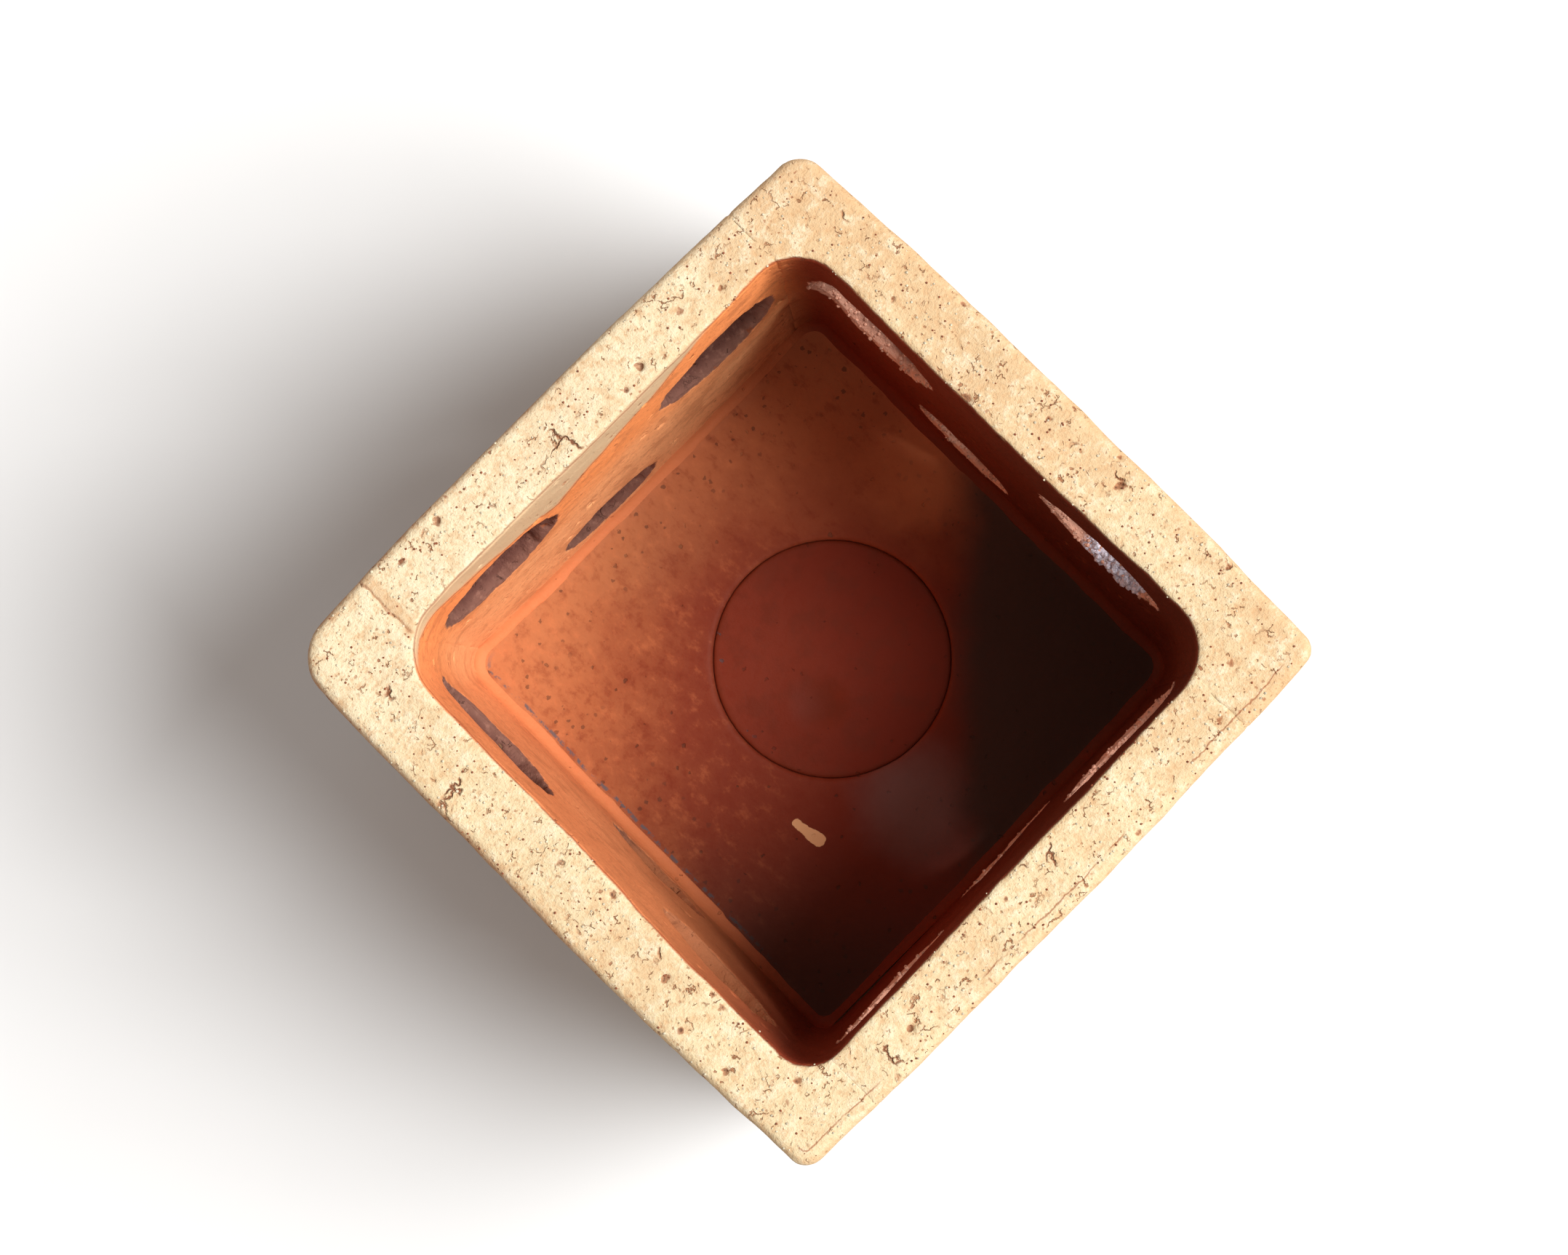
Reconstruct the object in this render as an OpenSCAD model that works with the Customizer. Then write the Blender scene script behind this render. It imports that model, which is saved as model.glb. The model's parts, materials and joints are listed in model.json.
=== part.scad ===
// Square slab-built stoneware pot, pierced with three round windows in each wall.
// Two end slabs (east and west) turn past the corners, and two infill slabs (north and
// south) are butted between them. All four stand on a floor slab raised on four feet.
// A loose clay disc lies in a rebate over the drain hole and lifts straight out.
// Millimetres, +Z up, origin on the ground under the middle of the pot.

/* [Body] */
// Outside width of the pot, square in plan
side = 110; // [90:1:160]
// Height of the walls, from the floor slab to the rim
wall_h = 85; // [70:1:130]
// Thickness of the wall slabs
wall_t = 11; // [8:0.5:13]
// Thickness of the floor slab
floor_t = 9; // [8:0.5:14]
// How far each end slab turns the corner past the inner face
corner_return = 5.5; // [4:0.5:9]

/* [Corners] */
// Outside corner radius, north-east
outer_r_ne = 7; // [3:0.5:9]
// Outside corner radius, north-west
outer_r_nw = 8; // [3:0.5:9]
// Outside corner radius, south-west
outer_r_sw = 4; // [3:0.5:9]
// Outside corner radius, south-east
outer_r_se = 5; // [3:0.5:9]
// Inside corner radius, north-east
inner_r_ne = 7; // [6:0.5:10]
// Inside corner radius, north-west
inner_r_nw = 9; // [6:0.5:10]
// Inside corner radius, south-west
inner_r_sw = 6; // [6:0.5:10]
// Inside corner radius, south-east
inner_r_se = 9; // [6:0.5:10]

/* [Windows] */
// Diameter of the upper windows
window_d = 23; // [12:0.5:26]
// Diameter of the lower windows
lower_d = 16; // [10:0.5:23]
// Depth of the upper windows' centres below the rim
upper_depth = 28.5; // [20:0.5:32]
// Clay left between the lower window and the floor
lower_sill = 3; // [3:0.5:10]

/* [Foot coils] */
// Leg of the clay coil pressed into the foot of each wall
coil_leg = 2; // [2:0.5:3]
// Thickness left at the coil's smoothed edges
coil_edge = 0.4; // [0.3:0.1:1]

/* [Drain] */
// Diameter of the loose drain disc
disc_d = 41; // [30:0.5:50]
// Thickness of the drain disc
disc_t = 4; // [3:0.5:4.5]
// Gap round the drain disc
disc_gap = 0.4; // [0.3:0.1:1]
// Grit bed under the drain disc
disc_bed = 0.3; // [0.2:0.1:0.5]
// How far the disc's face lies below the floor
disc_drop = 0.4; // [0:0.1:1]
// Diameter of the drain hole under the disc
drain_d = 24; // [12:0.5:26]
// How far the drain lies east of the pot's middle
drain_x = 3; // [-4:0.5:4]
// How far the drain lies north of the pot's middle
drain_y = 0; // [-4:0.5:4]

/* [Feet] */
// Width of each square foot
foot_w = 22; // [16:0.5:28]
// Height of the feet
foot_h = 6; // [4:0.5:12]
// Distance from the pot's side to the foot
foot_inset = 5; // [3:0.5:8]
// Corner radius of a foot
foot_r = 4; // [2:0.5:6]

/* [Hidden] */
$fn = 96;

// Extra length of a cutter past the face that it cuts
past = 1;
// Heights of the floor slab's faces and of the rim
floor_z = foot_h;
floor_top = floor_z + floor_t;
rim_z = floor_top + wall_h;
// Half of the outside width, and half of the cavity's width
half = side / 2;
inner_half = half - wall_t;
// Distance of the butt joints from the middle, along X
joint_x = inner_half - corner_return;
// Depth and diameter of the rebate that holds the drain disc
rebate_depth = disc_t + disc_bed + disc_drop;
rebate_d = disc_d + 2 * disc_gap;
// Corner radii in turn from the north-east, anticlockwise
outer_r = [outer_r_ne, outer_r_nw, outer_r_sw, outer_r_se];
inner_r = [inner_r_ne, inner_r_nw, inner_r_sw, inner_r_se];
// Heights of the windows' centres
upper_z = rim_z - upper_depth;
lower_z = floor_top + lower_sill + lower_d / 2;
// Hand-placed windows of each wall, from the east wall anticlockwise: how far the
// upper ones lie from the cavity's anticlockwise and clockwise ends, and how far the
// lower one lies from the wall's middle, positive anticlockwise
window_places = [[15, 24, 9], [20, 20, 5], [20, 18, 5], [19, 18, 1]];
// The same windows as distances from the wall's middle, heights and diameters
windows = [for (w = window_places) [
    [inner_half - w[0], upper_z, window_d],
    [w[1] - inner_half, upper_z, window_d],
    [w[2], lower_z, lower_d],
]];
CLAY = "#e8cfa0";
WASH = "#b0623c";

// A square centred on the axis, with its own radius at each corner
module round_square(width, radii) {
    difference() {
        square(width, center = true);
        for (k = [0:3])
            rotate(90 * k)
                translate([width / 2 - radii[k], width / 2 - radii[k]])
                    difference() {
                        square(radii[k] + past);
                        circle(radii[k]);
                    }
    }
}

// The plan of all four walls, rounded inside and outside
module wall_plan() {
    difference() {
        round_square(side, outer_r);
        round_square(2 * inner_half, inner_r);
    }
}

// The three windows through wall number k
module window_cutters(k) {
    for (w = windows[k])
        rotate(90 * k)
            translate([half + past, w[0], w[1]])
                rotate([0, -90, 0])
                    cylinder(d = w[2], h = half - joint_x + 2 * past);
}

// Half of the plan past the butt joints, which holds the east slab
module end_region() {
    translate([joint_x, -side])
        square([side, 2 * side]);
}

// The part of the plan between the joints, which holds the north slab
module infill_region() {
    translate([-joint_x, 0])
        square([2 * joint_x, side]);
}

// An end slab, number 0 (east) or 2 (west)
module end_slab(k) {
    color(CLAY)
        difference() {
            translate([0, 0, floor_top])
                linear_extrude(wall_h)
                    intersection() {
                        wall_plan();
                        rotate(90 * k) end_region();
                    }
            window_cutters(k);
        }
}

// An infill slab, number 1 (north) or 3 (south)
module infill_slab(k) {
    color(CLAY)
        difference() {
            translate([0, 0, floor_top])
                linear_extrude(wall_h)
                    intersection() {
                        wall_plan();
                        rotate(90 * (k - 1)) infill_region();
                    }
            window_cutters(k);
        }
}

// The coil's hollow section, standing out from a wall's face at x = reach
module coil_section(reach) {
    difference() {
        translate([reach - coil_leg, 0])
            square(coil_leg);
        translate([reach - coil_leg, coil_leg])
            circle(coil_leg - coil_edge);
    }
}

// The coil along the foot of wall number k, with the corner at its anticlockwise end
module foot_coil(k) {
    corner_r = inner_r[k];
    start_r = inner_r[(k + 3) % 4];
    run = 2 * inner_half - corner_r - start_r;
    color(WASH)
        rotate(90 * k)
            translate([0, 0, floor_top]) {
                translate([inner_half, start_r - inner_half, 0])
                    rotate([90, 0, 180])
                        mirror([1, 0, 0])
                            linear_extrude(run)
                                coil_section(0);
                translate([inner_half - corner_r, inner_half - corner_r, 0])
                    rotate_extrude(angle = 90)
                        coil_section(corner_r);
            }
}

module floor_slab() {
    color(CLAY)
        difference() {
            translate([0, 0, floor_z])
                linear_extrude(floor_t)
                    round_square(side, outer_r);
            translate([drain_x, drain_y, floor_top - rebate_depth])
                cylinder(d = rebate_d, h = rebate_depth + past);
            translate([drain_x, drain_y, floor_z - past])
                cylinder(d = drain_d, h = floor_t + 2 * past);
        }
}

// The foot under corner number k
module foot(k) {
    place = half - foot_inset - foot_w / 2;
    color(CLAY)
        rotate(90 * k)
            translate([place, place, 0])
                linear_extrude(foot_h)
                    round_square(foot_w, [foot_r, foot_r, foot_r, foot_r]);
}

module drain_disc() {
    color(WASH)
        translate([drain_x, drain_y, floor_top - rebate_depth + disc_bed])
            cylinder(d = disc_d, h = disc_t);
}

floor_slab();
end_slab(0);  // wall_slab_east
infill_slab(1);  // wall_slab_north
end_slab(2);  // wall_slab_west
infill_slab(3);  // wall_slab_south
foot_coil(0);  // foot_coil_east
foot_coil(1);  // foot_coil_north
foot_coil(2);  // foot_coil_west
foot_coil(3);  // foot_coil_south
foot(0);  // foot_ne
foot(1);  // foot_nw
foot(2);  // foot_sw
foot(3);  // foot_se
drain_disc();
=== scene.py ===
"""A square stoneware bonsai pot with pierced walls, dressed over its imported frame.

Every clay piece is grown from one rule: a distance field in millimetres, filled into a
volume by Geometry Nodes and turned into a mesh. The field holds the hand-made waviness,
the soft arrises, the torn windows and the pits, and each piece is the share of it that
its slab, coil or foot takes up.
"""

import json
import math

import bpy
from bpy.props import FloatProperty, FloatVectorProperty, IntProperty, PointerProperty
from mathutils import Matrix, Vector

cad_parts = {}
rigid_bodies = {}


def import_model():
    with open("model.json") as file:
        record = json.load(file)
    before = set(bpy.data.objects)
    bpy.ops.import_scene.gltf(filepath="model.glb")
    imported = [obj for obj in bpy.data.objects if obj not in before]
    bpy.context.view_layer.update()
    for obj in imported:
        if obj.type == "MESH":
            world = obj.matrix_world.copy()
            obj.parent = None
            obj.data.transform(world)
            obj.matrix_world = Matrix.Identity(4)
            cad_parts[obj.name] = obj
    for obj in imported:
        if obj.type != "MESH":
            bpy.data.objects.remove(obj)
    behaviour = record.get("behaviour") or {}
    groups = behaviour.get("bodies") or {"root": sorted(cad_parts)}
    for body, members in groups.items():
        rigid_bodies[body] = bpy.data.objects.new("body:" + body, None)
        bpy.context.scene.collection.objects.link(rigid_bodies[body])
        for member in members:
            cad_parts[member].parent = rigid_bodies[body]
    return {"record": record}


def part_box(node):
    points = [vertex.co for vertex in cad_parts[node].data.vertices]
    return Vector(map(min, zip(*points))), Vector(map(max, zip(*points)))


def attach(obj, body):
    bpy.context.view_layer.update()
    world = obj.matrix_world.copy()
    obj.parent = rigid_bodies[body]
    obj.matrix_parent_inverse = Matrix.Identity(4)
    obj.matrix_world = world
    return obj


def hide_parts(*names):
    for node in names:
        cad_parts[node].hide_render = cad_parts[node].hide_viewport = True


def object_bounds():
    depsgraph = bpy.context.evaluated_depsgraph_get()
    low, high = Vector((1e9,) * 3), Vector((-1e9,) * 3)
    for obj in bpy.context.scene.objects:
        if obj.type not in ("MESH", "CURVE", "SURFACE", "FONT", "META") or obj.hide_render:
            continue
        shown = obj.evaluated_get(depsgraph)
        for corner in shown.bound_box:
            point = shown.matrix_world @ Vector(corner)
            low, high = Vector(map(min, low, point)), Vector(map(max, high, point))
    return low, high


bl_info = {
    "name": "Pierced Stoneware Pot",
    "version": (1, 0, 0),
    "blender": (4, 5, 0),
    "location": "3D View > Sidebar > Stoneware Pot",
    "description": "Builds a slab-built bonsai pot and its white table round a packed frame",
    "category": "Add Mesh",
}

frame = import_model()
CAD_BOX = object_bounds()

MM = 0.001
# How far the clay stays inside the frame's own box, in mm
INSIDE = 0.02
# The least radius of a pit, in mm
SMALLEST_PIT = 0.02
# Islands of the mesh with fewer points than this are loose crumbs, and are dropped
CRUMB_POINTS = 300.0
# The specular level of fired clay, and how much of the toasted clay's colour is tan
CLAY_SHINE = 0.12
TOAST = 0.45
WALLS = ("east", "north", "west", "south")
CORNERS = ("ne", "nw", "sw", "se")


def box_mm(node):
    """The lowest and highest corner of a CAD node, in millimetres."""
    low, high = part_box(node)
    return low / MM, high / MM


HALF = box_mm("floor_slab")[1].x
BASE_Z, FLOOR_Z = box_mm("floor_slab")[0].z, box_mm("floor_slab")[1].z
RIM_Z = box_mm("wall_slab_east")[1].z
JOINT = box_mm("wall_slab_north")[1].x
CAVITY = box_mm("foot_coil_north")[1].y
COIL_TOP = box_mm("foot_coil_north")[1].z
DISC_LOW, DISC_HIGH = box_mm("drain_disc")
DISC_MID = (DISC_LOW + DISC_HIGH) / 2
DISC_R = (DISC_HIGH.x - DISC_LOW.x) / 2
# Where the disc's finger dimple lies from the disc's middle
DIMPLE = Vector((-7.0, -4.0))
# Height that parts the upper windows from the lower ones
MIDDLE_Z = (FLOOR_Z + RIM_Z) / 2


def find_windows(wall):
    """The middles and radii of a wall's windows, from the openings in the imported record."""
    windows = []
    for opening in frame["record"]["physics"]["openings"]:
        if opening["name"].startswith("window_" + wall):
            low, high = (Vector(corner) / MM for corner in opening["box_m"])
            # The clear box is the largest square in the round window
            windows.append(((low + high) / 2, (high.z - low.z) * math.sqrt(0.5)))
    return windows


# ---------------------------------------------------------------- sizes and colours


def length(name, value, description, low=0.0, high=150.0):
    """A property that holds a length in millimetres."""
    return FloatProperty(
        name=name, default=value, description=description, min=low, max=high, precision=2
    )


def colour(name, value, description):
    """A property that holds a linear colour."""
    return FloatVectorProperty(
        name=name, default=value, description=description, subtype="COLOR", size=3,
        min=0.0, max=1.0,
    )


class PotShape(bpy.types.PropertyGroup):
    """Sizes of the hand-made clay, in millimetres."""

    outer_radii: FloatVectorProperty(
        name="Outer corners", default=(4.0, 7.0, 3.0, 2.4), size=4, min=0.0,
        description="Outside radii of the NE, NW, SW and SE corners",
    )
    inner_radii: FloatVectorProperty(
        name="Inner corners", default=(7.5, 9.0, 6.5, 9.0), size=4, min=0.0,
        description="Inside radii of the NE, NW, SW and SE corners",
    )
    rim_round: length("Rim arris", 1.6, "Rounding of the rim's outer edge")
    mouth_round: length("Mouth arris", 1.0, "Rounding of the rim's inner edge")
    slack: length("Slack", 0.1, "Clay kept back from the nominal faces for the waviness")
    slow_wave: length("Slow wave", 1.5, "Strength of the long waves of the slabs")
    quick_wave: length("Quick wave", 0.5, "Strength of the short waves of the slabs")
    window_grow: length("Window wear", 0.25, "How much wider the torn windows are than cut")
    tear: length("Tear", 3.0, "How far the windows' edges wander")
    pit_r: length("Pit radius", 0.75, "Radius of the largest pits")
    pit_gap: length("Pit spacing", 3.4, "Distance between neighbouring pits")
    lap: length("Lap", 0.4, "How far the slabs are luted into each other")
    wall_voxel: length("Wall detail", 0.56, "Cell size of the end slabs", 0.3, 2.0)
    infill_voxel: length("Infill detail", 0.46, "Cell size of the infill slabs", 0.3, 2.0)
    floor_voxel: length("Floor detail", 0.56, "Cell size of the floor slab", 0.3, 2.0)
    small_voxel: length("Small detail", 0.36, "Cell size of coils, feet and disc", 0.2, 2.0)
    seed: IntProperty(name="Seed", default=7, min=0, description="Seed of the scattered grains")


class ClayColours(bpy.types.PropertyGroup):
    """Colours of the fired clay, its iron wash and its grains, and of the light and shade painted
    on the wash.
    """

    cream: colour("Cream", (0.60, 0.475, 0.295), "Bare stoneware")
    tan: colour("Tan", (0.50, 0.295, 0.15), "Toasted patches of the bare stoneware")
    chalk: colour("Chalk", (0.68, 0.59, 0.43), "Pale patches of the bare stoneware")
    rust: colour("Rust", (0.25, 0.065, 0.022), "Iron stains and the walls of pits")
    soot: colour("Soot", (0.055, 0.024, 0.016), "Dark grains and the depth of pits")
    wash_pale: colour("Thin wash", (0.80, 0.45, 0.23), "Thin iron wash under the rim")
    wash: colour("Wash", (0.41, 0.135, 0.052), "Iron wash in the north-west of the floor")
    # The lit washes are painted light: the wash as it looks where the light falls
    wash_lit: colour("Lit wash", (0.70, 0.225, 0.088), "Iron wash on the west wall")
    wash_glow: colour("Bright wash", (0.90, 0.30, 0.10), "Iron wash on the north wall")
    wash_cove: colour("Rubbed wash", (0.58, 0.26, 0.11), "Iron wash along the floor's north edge")
    wash_red: colour("Red wash", (0.20, 0.034, 0.015), "Iron wash in the middle of the floor")
    wash_deep: colour("Thick wash", (0.17, 0.020, 0.007), "Iron wash pooled on the drain disc")
    # Partly painted shade: the wash is darkened towards the south-east, away from the light
    wash_dark: colour("Dark wash", (0.125, 0.022, 0.009), "Iron wash in the south-east, partly painted shade")
    # Painted light through the south window, not a colour of the wash
    wash_mauve: colour("Window light", (0.20, 0.105, 0.095), "Mauve light from the south window, painted on the floor")
    # Painted shadow and shade for the floor, near-black
    wash_night: colour("Painted floor shadow", (0.045, 0.027, 0.020), "Near-black shadow and shade painted on the floor")
    torn: colour("Torn clay", (0.10, 0.037, 0.028), "Torn clay inside the windows")
    # Also painted light on the lips of the lit windows
    torn_pale: colour("Torn edge", (0.80, 0.41, 0.29), "Dry crumbs on the torn clay")
    slate: colour("Slate", (0.09, 0.09, 0.105), "Blue-grey iron gathered along the floor")
    lime: colour("Lilac white", (0.80, 0.74, 0.84), "Lime bloom on one window sill")


class StudioSettings(bpy.types.PropertyGroup):
    """The white table and its lights."""

    key_watts: FloatProperty(
        name="Key", default=168.0, min=0.0, subtype="POWER", description="Power of the soft box"
    )
    key_size: FloatProperty(
        name="Key size", default=1.9, unit="LENGTH", description="Width of the soft box"
    )
    key_height: FloatProperty(
        name="Key height", default=math.radians(52.0), subtype="ANGLE",
        description="Height of the soft box above the table, seen from the pot",
    )
    key_distance: FloatProperty(
        name="Key distance", default=3.0, unit="LENGTH", description="Distance of the soft box"
    )
    fill: FloatProperty(name="Fill", default=0.47, min=0.0, description="Strength of the room")
    table_white: colour("Table", (0.645, 0.645, 0.652), "Colour of the table")


# ---------------------------------------------------------------- node trees


class Socket:
    """An output socket that can stand in a formula; each operator adds a Math node."""

    def __init__(self, tree, socket):
        self.tree = tree
        self.socket = socket

    def __add__(self, other):
        return self.tree.maths("ADD", self, other)

    __radd__ = __add__

    def __sub__(self, other):
        return self.tree.maths("SUBTRACT", self, other)

    def __rsub__(self, other):
        return self.tree.maths("SUBTRACT", other, self)

    def __mul__(self, other):
        return self.tree.maths("MULTIPLY", self, other)

    __rmul__ = __mul__

    def __truediv__(self, other):
        return self.tree.maths("DIVIDE", self, other)

    def __neg__(self):
        return self.tree.maths("MULTIPLY", self, -1.0)

    def __abs__(self):
        return self.tree.maths("ABSOLUTE", self)

    def ramp(self, start, end):
        """A smooth step, from 0 at start to 1 at end."""
        smooth = {"interpolation_type": "SMOOTHSTEP"}
        return self.tree.add("ShaderNodeMapRange", smooth, self, start, end)

    def other(self, name):
        """Another output of the same node."""
        outputs = self.socket.node.outputs
        return Socket(self.tree, next(s for s in outputs if s.name == name and s.enabled))


class Tree:
    """A node tree under construction, for a shape or for a material."""

    def __init__(self, tree):
        self.tree = tree

    def add(self, kind, settings=None, *values, **named):
        """Adds a node, sets it up, feeds its inputs in order or by name."""
        node = self.tree.nodes.new(kind)
        for key, value in (settings or {}).items():
            setattr(node, key, value)
        sockets = [s for s in node.inputs if s.enabled]
        for socket, value in zip(sockets, values):
            self.feed(socket, value)
        for key, value in named.items():
            self.feed(next(s for s in sockets if s.name == key.replace("_", " ")), value)
        outputs = [s for s in node.outputs if s.enabled]
        return Socket(self, outputs[0]) if outputs else node

    def feed(self, socket, value):
        """Links a socket or sets it to a constant."""
        if isinstance(value, Socket):
            self.tree.links.new(value.socket, socket)
        elif socket.type == "RGBA" and len(value) == 3:
            socket.default_value = (*value, 1.0)
        else:
            socket.default_value = value

    def maths(self, operation, *values):
        return self.add("ShaderNodeMath", {"operation": operation}, *values)

    def vectors(self, operation, *values):
        return self.add("ShaderNodeVectorMath", {"operation": operation}, *values)

    def larger(self, first, *rest):
        for value in rest:
            first = self.maths("MAXIMUM", first, value)
        return first

    def smaller(self, first, *rest):
        for value in rest:
            first = self.maths("MINIMUM", first, value)
        return first

    def distance(self, *sides):
        """The length of a vector given by its parts."""
        total = sides[0] * sides[0]
        for side in sides[1:]:
            total = total + side * side
        return self.maths("SQRT", total)

    def parts(self, vector):
        first = self.add("ShaderNodeSeparateXYZ", None, vector)
        return first, first.other("Y"), first.other("Z")

    def noise(self, place, size, detail=2.0, roughness=0.5):
        """Noise from 0 to 1 whose lumps are about size millimetres wide."""
        return self.add(
            "ShaderNodeTexNoise", None, Vector=place, Scale=1.0 / size, Detail=detail,
            Roughness=roughness,
        )

    def shifted(self, place, size, amount, detail=1.0):
        """A place moved about by noise, by up to about half of the amount."""
        drift = self.noise(place, size, detail).other("Color")
        drift = self.vectors("SUBTRACT", drift, (0.5, 0.5, 0.5))
        return self.vectors("ADD", place, self.vectors("SCALE", drift, amount))

    def cells(self, place, size, feature="F1"):
        """Cells about size millimetres wide; the output is in cell widths."""
        return self.add(
            "ShaderNodeTexVoronoi", {"feature": feature}, Vector=place, Scale=1.0 / size
        )

    def mix(self, factor, first, second):
        """A blend of two colours."""
        return self.add("ShaderNodeMix", {"data_type": "RGBA"}, factor, first, second)

    def meet(self, first, second, radius):
        """The space inside two surfaces, with the edge between them rounded."""
        one = self.larger(first + radius, 0.0)
        two = self.larger(second + radius, 0.0)
        return self.smaller(self.larger(first, second), -radius) + self.distance(one, two)


class ShapeTree(Tree):
    """A Geometry Nodes tree with named inputs that ends in one closed mesh."""

    def __init__(self, name):
        super().__init__(bpy.data.node_groups.new(name, "GeometryNodeTree"))
        self.tree.interface.new_socket("Piece", in_out="OUTPUT", socket_type="NodeSocketGeometry")
        self.group = self.tree.nodes.new("NodeGroupInput")
        self.inputs = {}

    def size(self, name, value):
        """A named input of the tree and the value that its modifier gets."""
        kind = "NodeSocketFloat"
        item = self.tree.interface.new_socket(name, in_out="INPUT", socket_type=kind)
        self.inputs[item.identifier] = value
        found = [s for s in self.group.outputs if s.identifier == item.identifier]
        return Socket(self, found[0])

    def close(self, geometry, material):
        """Ends the tree with real geometry in one material."""
        geometry = self.add("GeometryNodeRealizeInstances", None, geometry)
        geometry = self.add("GeometryNodeSetMaterial", None, geometry, Material=material)
        self.tree.links.new(geometry.socket, self.tree.nodes.new("NodeGroupOutput").inputs[0])

    def make(self, name):
        """Runs the tree in a modifier and returns the result as a plain mesh object."""
        maker = bpy.data.objects.new(name + "_maker", bpy.data.meshes.new(name + "_maker"))
        bpy.context.scene.collection.objects.link(maker)
        modifier = maker.modifiers.new("shape", "NODES")
        modifier.node_group = self.tree
        for identifier, value in self.inputs.items():
            modifier[identifier] = value
        graph = bpy.context.evaluated_depsgraph_get()
        mesh = bpy.data.meshes.new_from_object(maker.evaluated_get(graph))
        maker.modifiers.remove(modifier)
        bpy.data.objects.remove(maker)
        if not mesh.polygons:
            raise RuntimeError(name + " came out empty")
        mesh.name = name
        piece = bpy.data.objects.new(name, mesh)
        bpy.context.scene.collection.objects.link(piece)
        return piece


# ---------------------------------------------------------------- the clay's shape


class Clay:
    """The distance fields that all clay pieces share, in millimetres, negative inside."""

    # How far each side stands back from its nominal face, in mm, and its slope along the wall
    OUTER_SIDES = {
        "east": (0.1, -0.012), "north": (-0.3, -0.006), "west": (0.2, 0.006),
        "south": (0.3, -0.014),
    }
    CAVITY_SIDES = {
        "east": (0.5, -0.010), "north": (-0.2, 0.0), "west": (1.0, -0.014),
        "south": (0.3, -0.026),
    }
    # Each outer side falls back by this many mm per square mm from its middle
    BOW = 0.0004
    # How much lower than round the lower windows are; they are wider by most of that
    SQUASH = 0.2
    WIDENED = 0.8
    # The crisp edge of a torn window, in mm
    WINDOW_ARRIS = 0.35

    def __init__(self, tree, shape):
        self.tree = tree
        self.shape = shape
        position = tree.add("GeometryNodeInputPosition")
        self.flat = tree.vectors("SCALE", position, 1.0 / MM)
        bent = tree.shifted(self.flat, 34.0, tree.size("Slow wave", shape.slow_wave))
        self.place = tree.shifted(bent, 7.0, tree.size("Quick wave", shape.quick_wave), 2.0)
        self.x, self.y, self.z = tree.parts(self.place)
        self.flat_x, self.flat_y, self.flat_z = tree.parts(self.flat)
        self.slack = tree.size("Slack", shape.slack)
        self.outer = self.plan(HALF - self.slack, self.OUTER_SIDES, self.BOW, shape.outer_radii)
        # The cavity's corners were smoothed at the mouth and left sharper at the floor
        smoothed = self.flat_z.ramp(FLOOR_Z - 8.0, RIM_Z - 6.0) * 0.5 + 0.5
        radii = [smoothed * radius for radius in shape.inner_radii]
        self.cavity = self.plan(CAVITY, self.CAVITY_SIDES, 0.0, radii)

    def plan(self, half, sides, bow, radii):
        """A nearly square outline, with its own radius at the NE, NW, SW and SE corner."""
        tree, x, y = self.tree, self.x, self.y
        distances = []
        for wall, out, along in (
            ("east", x, y), ("west", -x, y), ("north", y, x), ("south", -y, x)
        ):
            back, slope = sides[wall]
            face = half - back + along * slope - along * along * bow
            distances.append(out - face)
        east, west, north, south = distances
        right = tree.maths("GREATER_THAN", x, 0.0)
        top = tree.maths("GREATER_THAN", y, 0.0)
        ne, nw, sw, se = radii
        radius = right * (top * ne + (1.0 - top) * se)
        radius = radius + (1.0 - right) * (top * nw + (1.0 - top) * sw)
        return tree.meet(tree.larger(east, west), tree.larger(north, south), radius)

    def pitted(self, body, largest):
        """The body with pits taken out of its surface."""
        hole = pit_field(self.tree, self.flat, largest, self.shape.pit_gap)
        return self.tree.larger(body, -hole)

    def windows(self, wall):
        """Torn windows through one wall, negative inside them."""
        tree = self.tree
        along = self.flat_x if wall in ("north", "south") else self.flat_y
        wear = tree.size("Window wear", self.shape.window_grow)
        tear = tree.size("Tear", self.shape.tear)
        ragged = tree.noise(self.flat, 6.5, 3.0, 0.62) - 0.5
        crumbly = tree.noise(self.flat, 1.7, 2.0, 0.6) - 0.5
        flare = abs(self.cavity - 0.4).ramp(2.6, 0.0) * tree.noise(self.flat, 4.0, 2.0)
        edge = wear + ragged * tear + crumbly * (tear * 0.42) + flare * (tear * 0.45)
        holes = []
        for number, (middle, radius) in enumerate(find_windows(wall)):
            name = f"Window {number + 1} "
            centre = tree.size(name + "along", middle.x if along is self.flat_x else middle.y)
            height = tree.size(name + "height", middle.z)
            squash = self.SQUASH if middle.z < MIDDLE_Z else 0.0
            across = (along - centre) * (1.0 - squash * self.WIDENED)
            up = (self.flat_z - height) * (1.0 + squash)
            holes.append(tree.distance(across, up) - edge - tree.size(name + "radius", radius))
        return tree.smaller(*holes)

    def from_drain(self):
        """Distance from the upright axis of the drain."""
        return self.tree.distance(self.flat_x - DISC_MID.x, self.flat_y - DISC_MID.y)

    def out_of_round(self):
        """How far the drain disc and its rebate both stand out from a true circle."""
        tree = self.tree
        level = tree.vectors("MULTIPLY", self.flat, (1.0, 1.0, 0.0))
        return (tree.noise(level, 12.0, 2.0) - 0.5) * 0.3

    def clipped(self, body, low, high):
        """The body inside an upright box, and never past the frame's own box."""
        tree = self.tree
        for axis, value in enumerate((self.flat_x, self.flat_y, self.flat_z)):
            bottom = max(low[axis], CAD_BOX[0][axis] / MM + INSIDE)
            top = min(high[axis], CAD_BOX[1][axis] / MM - INSIDE)
            body = tree.larger(body, bottom - value, value - top)
        return body

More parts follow.
